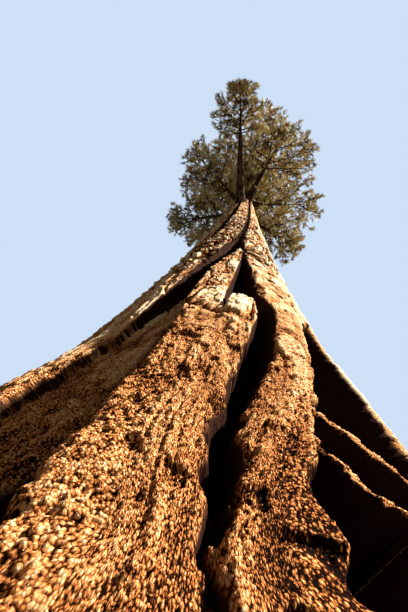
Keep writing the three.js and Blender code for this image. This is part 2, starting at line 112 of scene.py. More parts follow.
# %% [markdown]
# The camera stands close to the foot of the trunk and looks steeply up, through a wide lens. Its lens and
# tilt come from two points of the picture: the one that every upright edge runs towards, straight
# overhead, and one on the horizon's side that fixes which way the camera faces.

# %% Camera
FRAME_WIDE, FRAME_HIGH = 408, 612
FOCAL = 400.0  # focal length in pixels of the frame
OVERHEAD = (252, 155)  # the pixel that looks straight up
FACING = (203, 410)  # a pixel that looks at the trunk's axis
EYE = Vector((0, -3.27, 0.8))
SENSOR = 36.0
NEAREST_SEEN, FARTHEST_SEEN = 0.01, 1000


def ray_through(pixel):
    """The camera's own direction through a pixel: right, up, and minus one ahead."""
    right = (pixel[0] - FRAME_WIDE / 2) / FOCAL
    up = (FRAME_HIGH / 2 - pixel[1]) / FOCAL
    return Vector((right, up, -1)).normalized()


overhead = ray_through(OVERHEAD)
facing = ray_through(FACING)
ahead = (facing - overhead * (facing @ overhead)).normalized()
turn_of_camera = Matrix((ahead.cross(overhead), ahead, overhead))
camera = in_scene("camera", bpy.data.cameras.new("camera"))
camera.matrix_world = Matrix.Translation(EYE) @ turn_of_camera.to_4x4()
camera.data.sensor_width = SENSOR
camera.data.lens = SENSOR * FOCAL / FRAME_HIGH
camera.data.clip_start = NEAREST_SEEN
camera.data.clip_end = FARTHEST_SEEN
bpy.context.scene.camera = camera
print("camera lens", round(camera.data.lens, 1), "mm")

# %% [markdown]
# The light is plain: a pale surround and one sun, high, to the right and a little in front. It grazes the
# bark, so that each flute has a bright side and a dark one and each flake throws a short shadow. The floor
# is pale, and it isn't part of the tree. It takes the tree's shadow but throws no light back up, so that
# the furrows stay dark. The surround is seen as a pale blue, but it gives the tree only a little warm
# light. Surround and colours are nodes, so first come three helpers for nodes.

# %% Helpers for nodes
def feed(tree, node, inputs):
    """Gives inputs of a node, by name or number, a value or a link from another node's output."""
    for key, given in inputs.items():
        if isinstance(given, bpy.types.NodeSocket):
            tree.links.new(given, node.inputs[key])
        else:
            node.inputs[key].default_value = given


def add_node(tree, kind, inputs=None, **settings):
    """A new shader node with its settings and what feeds its inputs."""
    node = tree.nodes.new("ShaderNode" + kind)
    for key, value in settings.items():
        setattr(node, key, value)
    feed(tree, node, inputs or {})
    return node


def new_material(name):
    """A material, its node tree and its shader."""
    material = bpy.data.materials.new(name)
    material.use_nodes = True
    return material, material.node_tree, material.node_tree.nodes["Principled BSDF"]


# %% Light and floor
SUN_FROM = Vector((0.59, -0.22, 0.78))
SUN_STRENGTH = 17.5
SUN_COLOUR = (1.0, 0.93, 0.82)
SUN_SPREAD = 1.5  # degrees: a softer edge to the shadows than the real sun has
SURROUND = (0.62, 0.75, 0.93, 1)  # what the camera sees
SURROUND_LIGHT = (0.19, 0.172, 0.145, 1)  # what lights the tree
FLOOR_COLOUR = (0.36, 0.36, 0.35, 1)
FLOOR_HALF = 200.0
FLOOR_DROP = 0.002  # a little under the trunk's cut, so that the two don't lie in one plane

sun = in_scene("sun", bpy.data.lights.new("sun", "SUN"))
sun.data.energy = SUN_STRENGTH
sun.data.color = SUN_COLOUR
sun.data.angle = math.radians(SUN_SPREAD)
sun.rotation_euler = SUN_FROM.to_track_quat("Z", "Y").to_euler()

world = bpy.data.worlds.new("surround")
bpy.context.scene.world = world
world.use_nodes = True
tree = world.node_tree
seen_by = add_node(tree, "LightPath")
surround = add_node(tree, "Mix", {
    "Factor": seen_by.outputs["Is Camera Ray"], "A": SURROUND_LIGHT, "B": SURROUND,
}, data_type="RGBA")
feed(tree, tree.nodes["Background"], {"Color": surround.outputs["Result"]})
bpy.context.scene.view_settings.view_transform = "Standard"

corners = np.array([[-1, -1], [1, -1], [1, 1], [-1, 1]]) * FLOOR_HALF
floor_points = np.column_stack([corners, np.full(4, -FLOOR_DROP)])
floor = put_mesh("floor", floor_points, np.array([[0, 1, 2, 3]]), smooth=False)
floor_paint, tree, shader = new_material("floor_paint")
feed(tree, shader, {"Base Color": FLOOR_COLOUR, "Roughness": 0.9})
floor.data.materials.append(floor_paint)
floor.visible_diffuse = False
floor.visible_glossy = False
print("sun from", tuple(round(v, 2) for v in SUN_FROM.normalized()))

# %% [markdown]
# The trunk is a tapering stem that swells into a buttressed butt. Its radius is a function of the bearing
# round it and of the height: a smooth girth, and on it rounded ribs, of which the proudest wins, so that a
# sharp furrow is left where two ribs meet. The ribs of the front are given by rows of numbers, and those
# of the sides and back are dealt out by a seeded rule, the same as the solid's. It also says how deep in a
# furrow a point lies, which the bark's colour uses later to paint shade into the furrows.

# %% Girth and ribs of the trunk
TREE_HEIGHT = 40.0
LEADER_TIP = 38.3
THINNEST = 0.02  # no radius gets smaller
LEAN = -0.03  # metres along Y for each metre up: towards the camera

# height, bearing of the crest, half width to the left, half width to the right, how proud it stands
FRONT_RIBS = {
    "left_buttress": [
        (0, -6, 8, 8, 0.35), (1.3, -2.9, 5.2, 5.2, 0.15), (1.6, -3.6, 5.2, 5.2, 0.15),
        (1.8, -3.7, 4.8, 4.8, 0.15), (2, -3, 5.8, 5.8, 0.15), (2.35, -2.8, 6, 6, 0.15),
        (2.8, -3, 5.7, 6, 0.14), (3.4, -4, 5.2, 6, 0.13), (4, -5, 5.3, 6, 0.11), (4.5, -5, 6.5, 6.2, 0.09),
        (5.8, -3, 7.2, 6.8, 0.07), (6.8, 0.5, 5.8, 5.5, 0.07), (7.5, 3.3, 3.4, 3.3, 0.06),
        (8.5, 6, 3, 3, -0.04), (10, 8, 3, 3, -0.3), (40, 70, 3, 3, -0.3),
    ],
    "elbow": [
        (1.6, -2, 4, 4, -0.6), (2.1, -1, 3.4, 3.4, 0), (2.8, 1, 4, 3.6, 0.12), (3.1, 2.2, 4.5, 3.7, 0.14),
        (3.46, 3.6, 4.5, 4.2, 0.15), (3.9, 4.2, 4.4, 4.3, 0.15), (4.25, 5, 4, 4.1, 0.12),
        (4.45, 6.5, 2.8, 2.6, 0.05), (4.7, 7, 2.2, 2, -0.3), (5, 7.5, 2, 2, -0.6),
    ],
    "right_buttress": [
        (0, 9, 6, 6, 0.3), (1.3, 4.9, 3.9, 4.1, 0.15), (1.49, 5.2, 3.6, 3.7, 0.15),
        (1.6, 5.2, 3, 3.3, 0.14), (1.72, 5.4, 3.2, 3.5, 0.14), (1.85, 5.8, 3.4, 3.7, 0.14),
        (2, 6.5, 3.6, 3.9, 0.13), (2.4, 8.8, 3.8, 4.4, 0.13), (2.8, 11.7, 3.9, 4.4, 0.12),
        (3.3, 13.9, 4.2, 4.4, 0.12), (3.8, 16, 4.4, 4.6, 0.12), (4.2, 17.8, 5.2, 5, 0.12),
        (4.5, 21, 9, 7.5, 0.1), (5, 23, 14.5, 10, 0.08), (6.4, 25, 17, 12, 0.06), (7.2, 26, 21, 13, 0.05),
        (9.3, 29, 26, 15, 0.04), (11, 34, 28, 15, 0.03), (14, 40, 24, 14, 0.01), (40, 90, 14, 14, 0),
    ],
    "upper_rib": [
        (0, -34, 5, 5, 0.1), (3.5, -26, 4, 4, -0.06), (4.8, -22.3, 3.6, 3.6, 0.03),
        (5.8, -20.5, 4.7, 4.7, 0.06), (7.5, -17.8, 8.7, 8.7, 0.06), (9.3, -12, 14, 14, 0.05),
        (11.1, -6.5, 15, 15, 0.04), (14, 0, 17, 17, 0.03), (40, 45, 12, 12, 0),
    ],
    "left_flank": [(0, -22, 8, 8, 0.05), (2, -20, 9, 9, -0.1), (4, -19, 7, 7, -0.14), (8, -10, 3, 3, -0.3)],
    "left_shoulder": [(0, -48, 9, 9, 0), (3, -48, 10, 10, -0.18), (9, -40, 9, 9, -0.02), (40, 20, 9, 9, 0)],
    "right_shoulder": [
        (0, 50, 9, 9, 0.35), (2, 46, 8, 8, 0.05), (5, 52, 9, 9, 0), (14, 72, 12, 12, 0),
        (40, 110, 12, 12, 0),
    ],
}
# power with which a rib falls off from its crest, and how soon it gets painted shade: in front, and round
# the rest
FRONT_SQUARENESS, RING_SQUARENESS = 12, 2.2
FRONT_DARKNESS, RING_DARKNESS = 4, 0.4
# two thin ridges in the right-hand furrow, too thin for the plain solid
THIN_RIDGES = {
    "low_ridge": [
        (0, 24, 2.5, 2.5, 0.45), (1.5, 18.5, 1.6, 1.6, 0.18), (2, 17, 1, 1, -0.02),
        (2.5, 17, 0.9, 0.9, -0.12), (3.2, 18, 1, 1, -0.5),
    ],
    "high_ridge": [
        (0, 34, 3, 3, 0.5), (1.5, 27, 2.2, 2.2, 0.25), (2.1, 23, 1.4, 1.4, 0.06), (2.8, 21, 1.1, 1.1, -0.1),
        (3.6, 24, 1, 1, -0.35),
    ],
}


def generator(seed):
    """The source's own random numbers: state times 16807, modulo 2147483647."""
    state = seed % 2147483647
    while True:
        state = state * 16807 % 2147483647
        yield state / 2147483647


def between(low, high, share):
    """The number a share of the way from low to high."""
    return low + (high - low) * share


# %% Girth, twist and ribs as functions of the height
def girth(height):
    """Radius over the crests: a stem whose taper is a power of the height left, and two dying swells."""
    stem = 1.62 * np.clip(1 - height / TREE_HEIGHT, 0, 1) ** 1.32
    return stem + 1.17 * np.exp(-height / 4.5) + 0.22 * np.exp(-height / 0.5)


def furrow_depth(height):
    """Depth of the furrows, which dies away with the height."""
    return 0.07 + 0.46 * np.exp(-((height / 5.5) ** 1.5))


def twist(height):
    """Degrees by which the ribs of the sides and the back have turned at a height."""
    return 2.3 * np.minimum(height - 2, 12) + np.maximum(height - 14, 0)


def ring_of_ribs():
    """Crest, half width, proudness and extra proudness at the foot of each rib of the sides and the back."""
    draw = generator(77)
    return [
        (between(64, 298, k / 14) + 5 * (next(draw) - 0.5), 8.5 + 3 * next(draw), -0.16 + 0.16 * next(draw),
         0.25 + 0.35 * next(draw))
        for k in range(15)
    ]


RING_RIBS = ring_of_ribs()


def turned(angle):
    """An angle brought between minus and plus half a turn."""
    return (angle + 180) % 360 - 180


def trunk_form(bearing, height, ribs=FRONT_RIBS):
    """Radius of the ribs, and how dark each point is: 0 on the crests, 1 in the furrows.

    The radius is the girth plus the proudest rib. A rib falls off from its crest with a power of the
    distance across it. How dark a point is is painted shade: the steep sides of the great ribs are shaded
    nearly to their crests. Where no rib reaches lies the floor of a furrow, deepest low down in the
    right-hand one, and fully shaded.
    """
    depth = furrow_depth(height)
    floor = 1.15 + 0.8 * np.exp(-((turned(bearing - 23) / 11) ** 4)) * np.exp(-((height / 4) ** 3))
    proudest = -depth * floor
    dark = np.ones_like(proudest)

    def stand(proud, fall, darkness):
        nonlocal proudest, dark
        wins = proud - depth * fall > proudest
        proudest = np.where(wins, proud - depth * fall, proudest)
        dark = np.where(wins, np.minimum(darkness * fall, 1), dark)

    for rows in ribs.values():
        table = np.array(rows)
        crest, left, right, proud = (np.interp(height, table[:, 0], table[:, k]) for k in (1, 2, 3, 4))
        aside = turned(bearing - crest)
        across = np.abs(aside) / np.where(aside < 0, left, right)
        stand(proud, across**FRONT_SQUARENESS, FRONT_DARKNESS)
    for crest, half_width, proud, foot in RING_RIBS:
        across = np.abs(turned(bearing - crest - twist(height))) / half_width
        proud_here = proud * np.exp(-height / 6) + foot * np.exp(-height / 1.2)
        stand(proud_here, across**RING_SQUARENESS, RING_DARKNESS)
    return np.maximum(girth(height) + proudest, THINNEST), dark


def trunk_radius(bearing, height):
    """The trunk's radius alone, at one bearing and one height."""
    return float(trunk_form(np.array([float(bearing)]), np.array([float(height)]))[0][0])


print("radius in front, 1.5 m up:", round(trunk_radius(-4.8, 1.5), 2))

# %% [markdown]
# Bark grows in long strands that climb with the ribs, and it breaks into plates, flakes and chips that
# hang on like shingles, with their lower ends free. So the relief is laid out in coordinates of its own:
# one runs round the trunk but is tied to the ribs, so that strands lean as the ribs do, and one runs up in
# units of the girth, so that the pattern grows finer as the stem does. Bark that was only painted on
# would look flat from this near. Relief in the mesh casts its own shadows.

# %% Coordinates that follow the ribs
TRACKS = ["left_shoulder", "upper_rib", "left_buttress", "right_buttress", "right_shoulder"]
RISE_LEVELS = np.linspace(0, TREE_HEIGHT, 2001)
RISE = np.concatenate([[0], np.cumsum(np.diff(RISE_LEVELS) / np.maximum(girth(RISE_LEVELS[1:]), 0.12))])


def crest_bearings(height):
    """Bearings of all the crests at one height, in order round the trunk, repeated a turn each way."""
    front = [np.interp(height, *np.array(FRONT_RIBS[name])[:, :2].T) for name in TRACKS]
    crests = np.array(front + [crest + twist(height) for crest, *_ in RING_RIBS])
    return np.concatenate([crests - 360, crests, crests + 360])


HOME_HEIGHT = 3.0
HOME = crest_bearings(HOME_HEIGHT)


def strand_at(bearing, height):
    """Bearing of each point's strand at the home height: gaps between crests are stretched to fit."""
    rows = [np.interp(around, crest_bearings(level), HOME) for around, level in zip(bearing, height[:, 0])]
    return np.array(rows)


def rise_at(height):
    """Height counted in girths: the sum of each small step up over the girth there."""
    return np.interp(height, RISE_LEVELS, RISE)


print(len(HOME) // 3, "crests round the trunk, which is", round(float(RISE[-1])), "girths high")

# %% Noise on a grid that closes round the trunk
NOISE_ROWS = 701


def grid_place(strand, rise, cells, aspect):
    """Place on a grid with so many cells round the trunk, each aspect times as high as it is wide."""
    return strand / 360 * cells, rise * cells / (2 * math.pi * aspect)


def soft_step(share):
    """Three squares less two cubes: level at 0 and at 1."""
    return share * share * (3 - 2 * share)


def soft_noise(strand, rise, cells, aspect, seed):
    """Random numbers at the corners of the grid, from -1 to 1, joined by a soft step."""
    across, along = grid_place(strand, rise, cells, aspect)
    corner = np.random.default_rng(seed).uniform(-1, 1, (NOISE_ROWS, cells))
    column, row = np.floor(across).astype(int), np.floor(along).astype(int)
    u, v = soft_step(across - column), soft_step(along - row)
    left, right = column % cells, (column + 1) % cells
    here, above = row % NOISE_ROWS, (row + 1) % NOISE_ROWS
    low = between(corner[here, left], corner[here, right], u)
    high = between(corner[above, left], corner[above, right], u)
    return between(low, high, v)


def shingles(strand, rise, cells, aspect, seed):
    """Flakes like shingles. A point belongs to the nearest of a set of scattered middles, one to a cell.

    Gives how high the flake stands there, from 0 to 1: each by its own chance, more towards its free lower
    end, and nothing in the crack round it, where the next middle is as near as its own.
    """
    across, along = grid_place(strand, rise, cells, aspect)
    draws = np.random.default_rng(seed).random((3, NOISE_ROWS, cells))
    column, row = np.floor(across).astype(int), np.floor(along).astype(int)
    nearest = np.full(across.shape, 9.0)
    second = nearest.copy()
    stands, below = np.zeros(across.shape), np.zeros(across.shape)
    for down in (-1, 0, 1):
        for aside in (-1, 0, 1):
            r, c = (row + down) % NOISE_ROWS, (column + aside) % cells
            du = column + aside + 0.1 + 0.8 * draws[0][r, c] - across
            dv = row + down + 0.1 + 0.8 * draws[1][r, c] - along
            gap = np.sqrt(du * du + dv * dv)
            closer = gap < nearest
            second = np.where(closer, nearest, np.minimum(second, gap))
            nearest = np.where(closer, gap, nearest)
            stands = np.where(closer, draws[2][r, c], stands)
            below = np.where(closer, dv, below)
    crack = np.clip((second - nearest) * 2.4, 0, 1)
    return np.clip(0.65 * stands + 0.45 * below + 0.15, 0, 1) * np.sqrt(crack)


# %% [markdown]
# Several sizes of relief are added up. Ropes are the thick wandering strands, with a deep crack where two
# of them meet, and fibres are thinner ones. Blocks, plates, flakes and chips are shingles at four sizes.
# Near the ground the small ones show most, and the large ones come in higher up. Pits are where bark has
# dropped off. Each size stands out by a share of the width of its own cells, and a size that the mesh of a
# band is too coarse to hold is left out there.

# %% Relief of the bark
# cells round the trunk
BLOCKS, ROPES, PITS, PLATES, FLAKES, CHIPS = 64, 72, 100, 150, 420, 1300
FIBRES_ROUND = 3 * ROPES


def cracked(noise, bulge, cut, crack_width):
    """Strands between the zeros of a noise: they swell with it, and a narrow bell is cut along each zero."""
    return bulge * noise - cut * np.exp(-((noise / crack_width) ** 2))


def bark_relief(strand, rise, height, finest):
    """Metres that the bark stands out at each point. Shingles with more cells than finest are left out."""
    width = 2 * math.pi * girth(height)
    high = np.clip((height - 4.0) / 4, 0, 1)
    bent = strand + 360 / ROPES * 0.9 * soft_noise(strand, rise, 40, 3, 1)
    relief = width / ROPES * cracked(soft_noise(bent, rise, ROPES, 7, 2), 0.09, 0.15, 0.14)
    relief += width / FIBRES_ROUND * cracked(soft_noise(bent, rise, FIBRES_ROUND, 9, 3), 0.12, 0.2, 0.2)
    relief *= np.clip((height - 1.2) / 2.5, 0.45, 1)
    pits = between(soft_noise(bent, rise, 2 * PITS, 1.3, 9), soft_noise(bent, rise, PITS, 1.7, 8), high)
    relief -= width / PITS * between(0.10, 0.55, high) * np.clip((pits - 0.38) * 4, 0, 1)
    # cells round the trunk, height of a cell over its width, how proud it stands over its width, seed
    sizes = (
        (BLOCKS, 2.2, 0.6 * high, 7),
        (PLATES, 2.0, 0.16 + 0.9 * high, 4),
        (FLAKES, 2.2, np.clip(height / 6, 0.16, 0.5), 5),
        (CHIPS, 1.7, 1.0, 6),
    )
    for cells, aspect, stands, seed in sizes:
        if cells <= finest:
            lifted = shingles(bent, rise, cells, aspect, seed)
            patchy = np.clip(0.8 + 0.7 * soft_noise(strand, rise, cells // 6, 3, seed + 10), 0.15, 1.3)
            relief += width / cells * stands * patchy * (lifted - 0.5)
    return relief


# %% [markdown]
# The trunk is built as bands, one on top of another, so that no piece is too heavy to handle. The bands
# near the camera have the finest mesh, and the columns crowd together on the side that the camera sees.
# Each band has a short collar inside the one below, so that no gap can open at the joint.

# %% Edges and colours of a band
def ragged_edges(strand, rise, height):
    """Degrees by which the ribs are read aside: two sizes of noise, stronger near the ground."""
    aside = 0.7 * soft_noise(strand, rise, 150, 1.2, 21) + 0.45 * soft_noise(strand, rise, 420, 1.5, 22)
    return aside * np.clip(1.3 - height / 3.5, 0.1, 0.6)


def hollow_of(dark, bearing):
    """Painted shade, spread a column aside in front, where a rib's steep side is one narrow face."""
    beside = np.maximum(dark, np.maximum(np.roll(dark, 1, 1), np.roll(dark, -1, 1)))
    return between(dark, beside, np.clip((30 - np.abs(bearing)) / 10, 0, 1))


def proud_of(relief, height):
    """Relief as a share of the girth, raised and with more contrast higher up, as painted light that makes
    the bark paler there.
    """
    # painted light: higher up the bark is painted paler, as if more brightly lit
    painted_light_above = np.clip((height - 1.6) / 3.2, 0, 1)
    return relief / (0.012 * girth(height)) * (1 + 0.3 * painted_light_above) + 1.7 * painted_light_above


def grain_of(strand, rise, height):
    """A place on a drum that the strands run straight up, so that a pattern read there follows them."""
    wide = girth(height) ** 0.6 * 1.5
    return np.stack([wide * np.sin(np.radians(strand)), wide * np.cos(np.radians(strand)), rise * 0.35], -1)


# %% Bands of the trunk
COLUMN_SPREAD = 0.25  # 1 spaces the columns evenly, and less crowds them together in front
COLLAR_DEEP, COLLAR_HIGH = 0.04, 0.03


def bark_band(name, low, high, columns, rows, finest):
    """A closed band of bark: its radius is that of the ribs, read a little aside, plus the relief."""
    level = between(low, high, np.linspace(0, 1, rows))[:, None]
    u = np.arange(columns) * 2 / columns - 1
    bearing = 180 * (COLUMN_SPREAD * u + (1 - COLUMN_SPREAD) * u**3) + np.zeros_like(level)
    height = level + np.zeros_like(bearing)
    strand = strand_at(bearing, height)
    rise = rise_at(height)
    aside = ragged_edges(strand, rise, height)
    ribs, dark = trunk_form(bearing + aside, height, FRONT_RIBS | THIN_RIDGES)
    relief = bark_relief(strand, rise, height, finest)
    radius = np.maximum(ribs + relief, THINNEST)
    if low > 0:
        grids = (radius, bearing, height, strand, rise, relief, dark)
        repeated = (np.concatenate([grid[:1], grid]) for grid in grids)
        radius, bearing, height, strand, rise, relief, dark = repeated
        radius[0] -= COLLAR_DEEP
        height[0] -= COLLAR_HIGH
    angle = np.radians(bearing)
    points = np.stack([radius * np.sin(angle), LEAN * height - radius * np.cos(angle), height], -1)
    ends = np.array([points[0].mean(0), points[-1].mean(0)])
    sides, caps = closed_grid(len(radius), columns)
    smooth = np.arange(len(sides) + len(caps)) < len(sides)
    if low > 0:
        smooth[: 2 * columns] = False
    skin = np.concatenate([points.reshape(-1, 3), ends])
    piece = put_mesh(name, skin, np.concatenate([sides, caps]), smooth)
    paint_points(
        piece,
        proud=np.append(proud_of(relief, height), [0, 0]),
        hollow=np.append(hollow_of(dark, bearing), [0, 0]),
        grain=np.concatenate([grain_of(strand, rise, height).reshape(-1, 3), np.zeros((2, 3))]),
    )
    return piece


# name, lowest and highest height, columns, rows, and the finest shingles that its mesh can hold
BANDS = [
    ("trunk_foot", 0, 0.88, 450, 60, FLAKES),
    ("trunk_butt", 0.88, 1.75, 860, 110, CHIPS),
    ("trunk_buttresses", 1.75, 3.0, 900, 105, CHIPS),
    ("trunk_fluted", 3.0, 6.0, 600, 140, FLAKES),
    ("trunk_middle", 6.0, 14.0, 330, 285, PLATES),
    ("trunk_upper", 14.0, LEADER_TIP, 180, 260, PLATES),
]
bark_pieces = [bark_band(*band) for band in BANDS]
print(len(bark_pieces), "bands of bark")

# %% [markdown]
# Bark is dry, red-brown and fibrous. Its colour follows the relief that the mesh was made with, which each
# point keeps as a number. Cracks and pits are painted nearly black and the crests of the flakes cream:
# partly the bark's own tone, with its bleached flake ends, and partly painted shade in the low places and
# painted highlights on the crests. The insides of the furrows get a dark painted shade. Finer fibres than
# the mesh can hold are drawn by a bump. The bark of the boughs uses the fibres too, so they are a group.

# %% Fibre group
# how many times finer each pattern is along the grain than the grain's own coordinate
FIBRE_ALONG, FLAKE_ALONG = 2, 4.6
PATCH_SCALE = 0.1  # of the scale of the fibres
FLAKE_CUT = -0.7  # how much the height falls from a flake's middle to its rim


def fibre_group():
    """Fibres and small flakes: their height, a chance number for each flake, and broad patches."""
    group = bpy.data.node_groups.new("bark_fibres", "ShaderNodeTree")
    group.interface.new_socket("Grain", in_out="INPUT", socket_type="NodeSocketVector")
    group.interface.new_socket("Scale", in_out="INPUT", socket_type="NodeSocketFloat")
    for label in ("Height", "Flake", "Patches"):
        group.interface.new_socket(label, in_out="OUTPUT", socket_type="NodeSocketFloat")
    given, out = group.nodes.new("NodeGroupInput").outputs, group.nodes.new("NodeGroupOutput")
    grain, scale = given["Grain"], given["Scale"]
    half, shorter = (
        add_node(group, "VectorMath", {0: grain, 1: (1, 1, along)}, operation="MULTIPLY")
        for along in (FIBRE_ALONG, FLAKE_ALONG)
    )
    fine = add_node(group, "TexNoise", {
        "Vector": half.outputs["Vector"], "Scale": scale, "Detail": 6.0, "Roughness": 0.65,
    })
    flakes = add_node(group, "TexVoronoi", {"Vector": shorter.outputs["Vector"], "Scale": scale})
    broad = add_node(group, "Math", {0: scale, 1: PATCH_SCALE}, operation="MULTIPLY")
    patches = add_node(group, "TexNoise", {
        "Vector": grain, "Scale": broad.outputs[0], "Detail": 3.0, "Roughness": 0.55,
    })
    height = add_node(group, "Math", {
        0: flakes.outputs["Distance"], 1: FLAKE_CUT, 2: fine.outputs["Fac"],
    }, operation="MULTIPLY_ADD")
    chance = add_node(group, "SeparateColor", {"Color": flakes.outputs["Color"]})
    feed(group, out, {
        "Height": height.outputs[0], "Flake": chance.outputs["Red"], "Patches": patches.outputs["Fac"],
    })
    return group


FIBRES = fibre_group()
print("group", FIBRES.name, "with", len(FIBRES.nodes), "nodes")


# %% Bark material
# place of a point on the colour ramp: a start, and how far each reading moves it along
RAMP_START = -0.14
PROUD_WEIGHT, FIBRE_WEIGHT, FLAKE_WEIGHT, PATCH_WEIGHT = 0.34, 1.1, 0.5, 0.34
# painted shade: the colour that the furrows and the steep sides of the ribs are darkened towards
FURROW_SHADE = (0.028, 0.0115, 0.0075, 1)
FURROW_BEGINS, FURROW_FULL = 0.1, 0.6
DRY_ROUGHNESS = 0.85
DRY_IOR = 1.03  # hardly any gloss, or the steep walls of the furrows would look grey in the low sun


def weighed_sum(tree, total, terms):
    """A number that starts at a total and adds each term, which is an output and its weight."""
    for output, weight in terms:
        step = add_node(tree, "Math", {0: output, 1: weight, 2: total}, operation="MULTIPLY_ADD")
        total = step.outputs[0]
    return total


def bark_material(name, stops, fibre_scale, bump):
    """Bark coloured along a ramp of how proud each point stands, shifted by patches, flakes and fibres."""
    material, tree, shader = new_material(name)
    grain, proud, hollow = (
        add_node(tree, "Attribute", attribute_name=label).outputs
        for label in ("grain", "proud", "hollow")
    )
    fibres = add_node(
        tree, "Group", {"Grain": grain["Vector"], "Scale": fibre_scale}, node_tree=FIBRES
    ).outputs
    place = weighed_sum(tree, RAMP_START, [
        (proud["Fac"], PROUD_WEIGHT), (fibres["Height"], FIBRE_WEIGHT), (fibres["Flake"], FLAKE_WEIGHT),
        (fibres["Patches"], PATCH_WEIGHT),
    ])
    ramp = add_node(tree, "ValToRGB", {"Fac": place})
    steps = ramp.color_ramp.elements
    first, *inner, last = stops
    steps[0].position, steps[0].color = first[0], (*first[1], 1)
    steps[1].position, steps[1].color = last[0], (*last[1], 1)
    for position, colour in inner:
        steps.new(position).color = (*colour, 1)
    shade = add_node(tree, "MapRange", {
        "Value": hollow["Fac"], "From Min": FURROW_BEGINS, "From Max": FURROW_FULL,
    }, interpolation_type="SMOOTHSTEP")
    # painted shade in the furrows, mixed over the colour from the ramp
    furrow_shaded = add_node(tree, "Mix", {
        "Factor": shade.outputs["Result"], "A": ramp.outputs["Color"], "B": FURROW_SHADE,
    }, data_type="RGBA")
    relief = add_node(tree, "Bump", {"Height": fibres["Height"], "Distance": bump})
    feed(tree, shader, {
        "Base Color": furrow_shaded.outputs["Result"], "Normal": relief.outputs["Normal"],
        "Roughness": DRY_ROUGHNESS, "IOR": DRY_IOR,
    })
    return material


# low places of the relief take the dark end and the crests the cream end: painted shade and painted
# highlight, together with the bark's own tone
# place on the ramp, and colour there
CINNAMON = [
    (0.12, (0.008, 0.003, 0.002)),
    (0.24, (0.080, 0.024, 0.007)),
    (0.34, (0.34, 0.105, 0.026)),
    (0.50, (0.56, 0.215, 0.065)),
    (0.78, (0.80, 0.470, 0.215)),
    (1.00, (0.93, 0.770, 0.560)),
]
bark = bark_material("sequoia_bark", CINNAMON, fibre_scale=150.0, bump=0.008)
for piece in bark_pieces:
    finish_piece(piece, [bark], ["trunk"])

# %% [markdown]
# The crown is planned as the solid's is. One bough leaves the stem for each step of the golden angle, and
# carries a mass of foliage at its end. Each mass keeps to a space of its own: a flattened ball, cut off by
# a flat wall between it and each neighbour. The same numbers and the same seeds give the same plan here,
# so the dressed foliage fills just the spaces that the solids fill.

# %% Plan of the crown
CROWN_BASE, HIGHEST_BOUGH = 19.4, 33.2
BOUGHS, FIRST_BEARING, GOLDEN_ANGLE = 20, -24, 137.508
MASS_FLATNESS = 0.95
WALL_GAP, LONGEST_REACH = 0.04, 6.0
FLATTEN = np.array([1, 1, 1 / MASS_FLATNESS])
UP = np.array([0.0, 0.0, 1.0])


def outward(bearing):
    """The level direction at a bearing: 0 is the front, 90 the right."""
    return np.array([math.sin(math.radians(bearing)), -math.cos(math.radians(bearing)), 0.0])


def stem_axis(height):
    """The middle of the leaning stem at a height."""
    return np.array([0.0, LEAN * height, height])


# bearing, and how far the crown reaches there from the stem's axis
CROWN_OUTLINE = np.array([
    (-180, 3.6), (-144, 4.1), (-90, 4.3), (-51, 4.2), (-30, 4.3), (-8, 5.2), (12, 5.1), (26, 4.8), (50, 5.7),
    (66, 5.6), (90, 4.4), (124, 3.8), (160, 3.3), (180, 3.6),
])
# the lowest bough carries a small mass that stands out of the crown's front
SPUR_BEARING, SPUR_REACH, SPUR_HALF_WIDTH = -11, 5.5, 1.3


def crown_reach(bearing, height):
    """The crown's outline at a bearing, which shrinks towards its base and its top."""
    plan = float(np.interp(turned(bearing), *CROWN_OUTLINE.T))
    low = min((height - 0.35 * CROWN_BASE) / (0.86 * CROWN_BASE), 1)
    return plan * low * math.sqrt(min((TREE_HEIGHT - height) / (0.3 * TREE_HEIGHT), 1))


def bough_masses():
    """One mass for each bough, from the lowest up: where its bough starts, its middle and its size."""
    draw = generator(4021)
    for k in range(BOUGHS):
        share = k / (BOUGHS - 1)
        height = between(CROWN_BASE, HIGHEST_BOUGH, share) + 0.3 * (next(draw) - 0.5)
        bearing = FIRST_BEARING + GOLDEN_ANGLE * k + 16 * (next(draw) - 0.5)
        rise = between(0.5, 1.5, next(draw))
        reach = crown_reach(bearing, height + rise) * between(0.94, 1.04, next(draw))
        half_width = min(between(2.5, 2.0, share**1.3), 0.54 * reach)
        if k == 0:
            bearing, reach, half_width = SPUR_BEARING, SPUR_REACH, SPUR_HALF_WIDTH
        centre = stem_axis(height + rise) + outward(bearing) * (reach - 0.9 * half_width)
        yield {"name": f"{k + 1:02d}", "height": height, "centre": centre, "half_width": half_width}


# name, height, bearing, how far out of the bark its middle is, half width
STEM_MASSES = [
    ("inner_low", 22.4, 4, 0.8, 1.3),
    ("inner_high", 29.5, -100, 0.6, 1.1),
    ("leader_front", 35.2, 15, 1.0, 1.8),
    ("leader_left", 35.7, -105, 1.0, 1.75),
    ("leader_back", 36.1, 135, 1.0, 1.7),
    ("leader_upper", 37.4, 60, 0.5, 1.4),
]


def stem_mass(name, height, bearing, out, half_width):
    """A mass that has no bough and sits against the stem."""
    heading = outward(bearing)
    wood = trunk_radius(bearing, height)
    centre = stem_axis(height + 0.3) + heading * (wood + out)
    root = stem_axis(height) + heading * 0.6 * wood
    return {"name": name, "centre": centre, "half_width": half_width, "heading": heading, "root": root}


masses = [*bough_masses(), *(stem_mass(*row) for row in STEM_MASSES)]
TOP_HALF_WIDTH = 1.25
masses.append({
    "name": "top", "centre": stem_axis(TREE_HEIGHT - MASS_FLATNESS * TOP_HALF_WIDTH),
    "half_width": TOP_HALF_WIDTH, "heading": UP, "root": stem_axis(LEADER_TIP),
})


